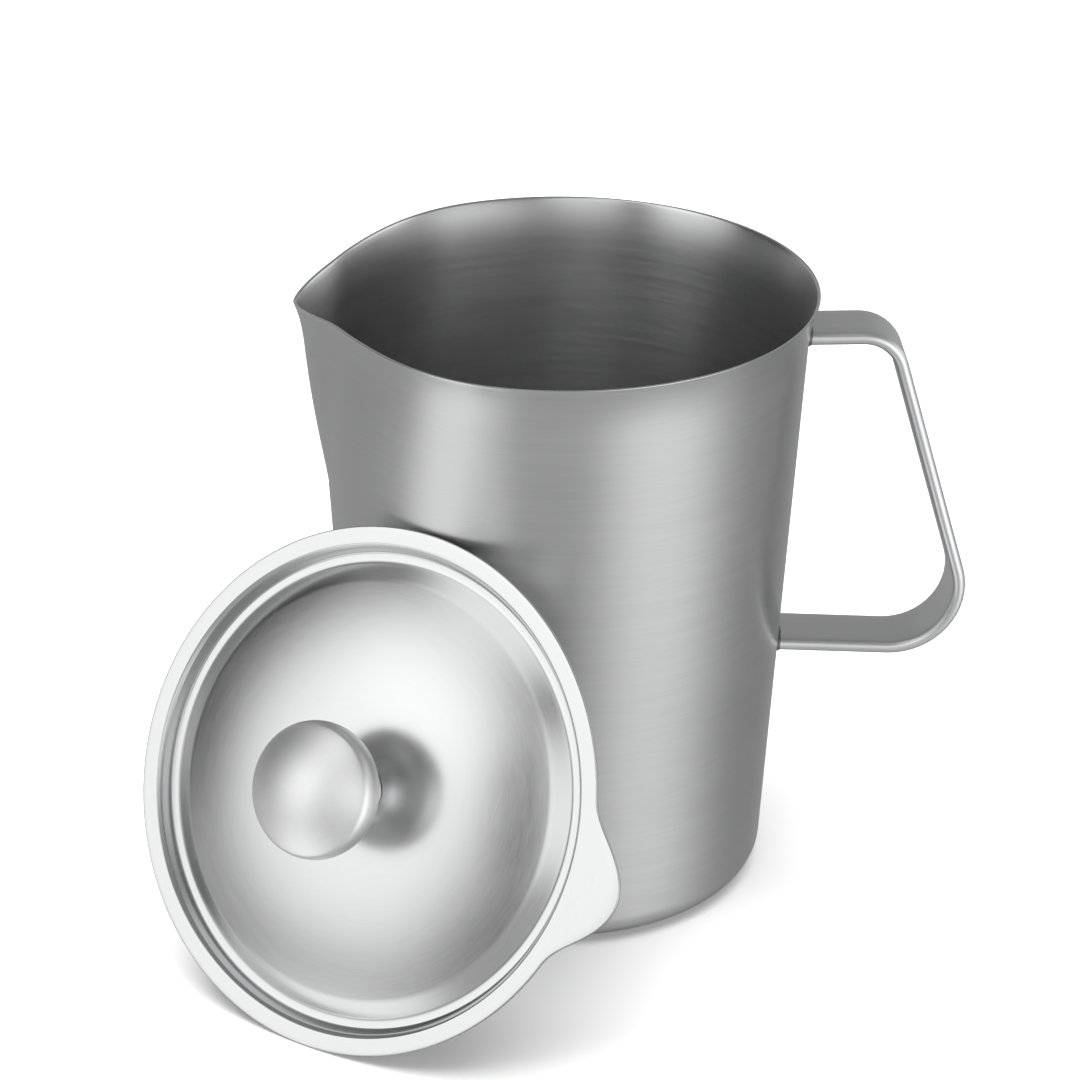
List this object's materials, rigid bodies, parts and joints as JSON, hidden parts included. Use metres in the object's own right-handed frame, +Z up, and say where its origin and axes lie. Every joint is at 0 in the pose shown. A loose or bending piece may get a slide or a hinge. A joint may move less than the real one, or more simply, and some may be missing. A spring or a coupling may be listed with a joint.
{
  "type": "milk frothing jug with lid",
  "caption": "Stainless steel milk frothing jug with a pressed pouring spout, a bent strap handle and a loose round lid with a knob, leaning on the jug.",
  "frame": {"origin": "centre of the jug's flat underside, on the surface it stands on", "axes": "+Z up along the jug's axis, +X towards the handle, -X towards the spout"},
  "size_m": [0.2223, 0.1918, 0.168],
  "materials": {
    "jug_steel": "satin, brushed round the wall",
    "handle_steel": "satin, brushed along the strap",
    "weld_steel": "ground weld",
    "lid_steel": "bright rim, satin dome",
    "knob_steel": "fine satin",
    "fastener_steel": "plain bright"
  },
  "bodies": {
    "jug": {"jug_body": "jug_steel", "handle_strap": "handle_steel", "upper_handle_weld": "weld_steel", "lower_handle_weld": "weld_steel"},
    "lid": {"lid_shell": "lid_steel", "lid_knob": "knob_steel", "knob_screw": "fastener_steel", "spring_washer": "fastener_steel", "flat_washer": "fastener_steel"}
  },
  "joints": [
    {"name": "lid_lift", "type": "slide", "parent": "jug", "child": "lid", "axis": [-0.513, -0.7408, 0.4337], "range_m": [0, 0.15]}
  ]
}
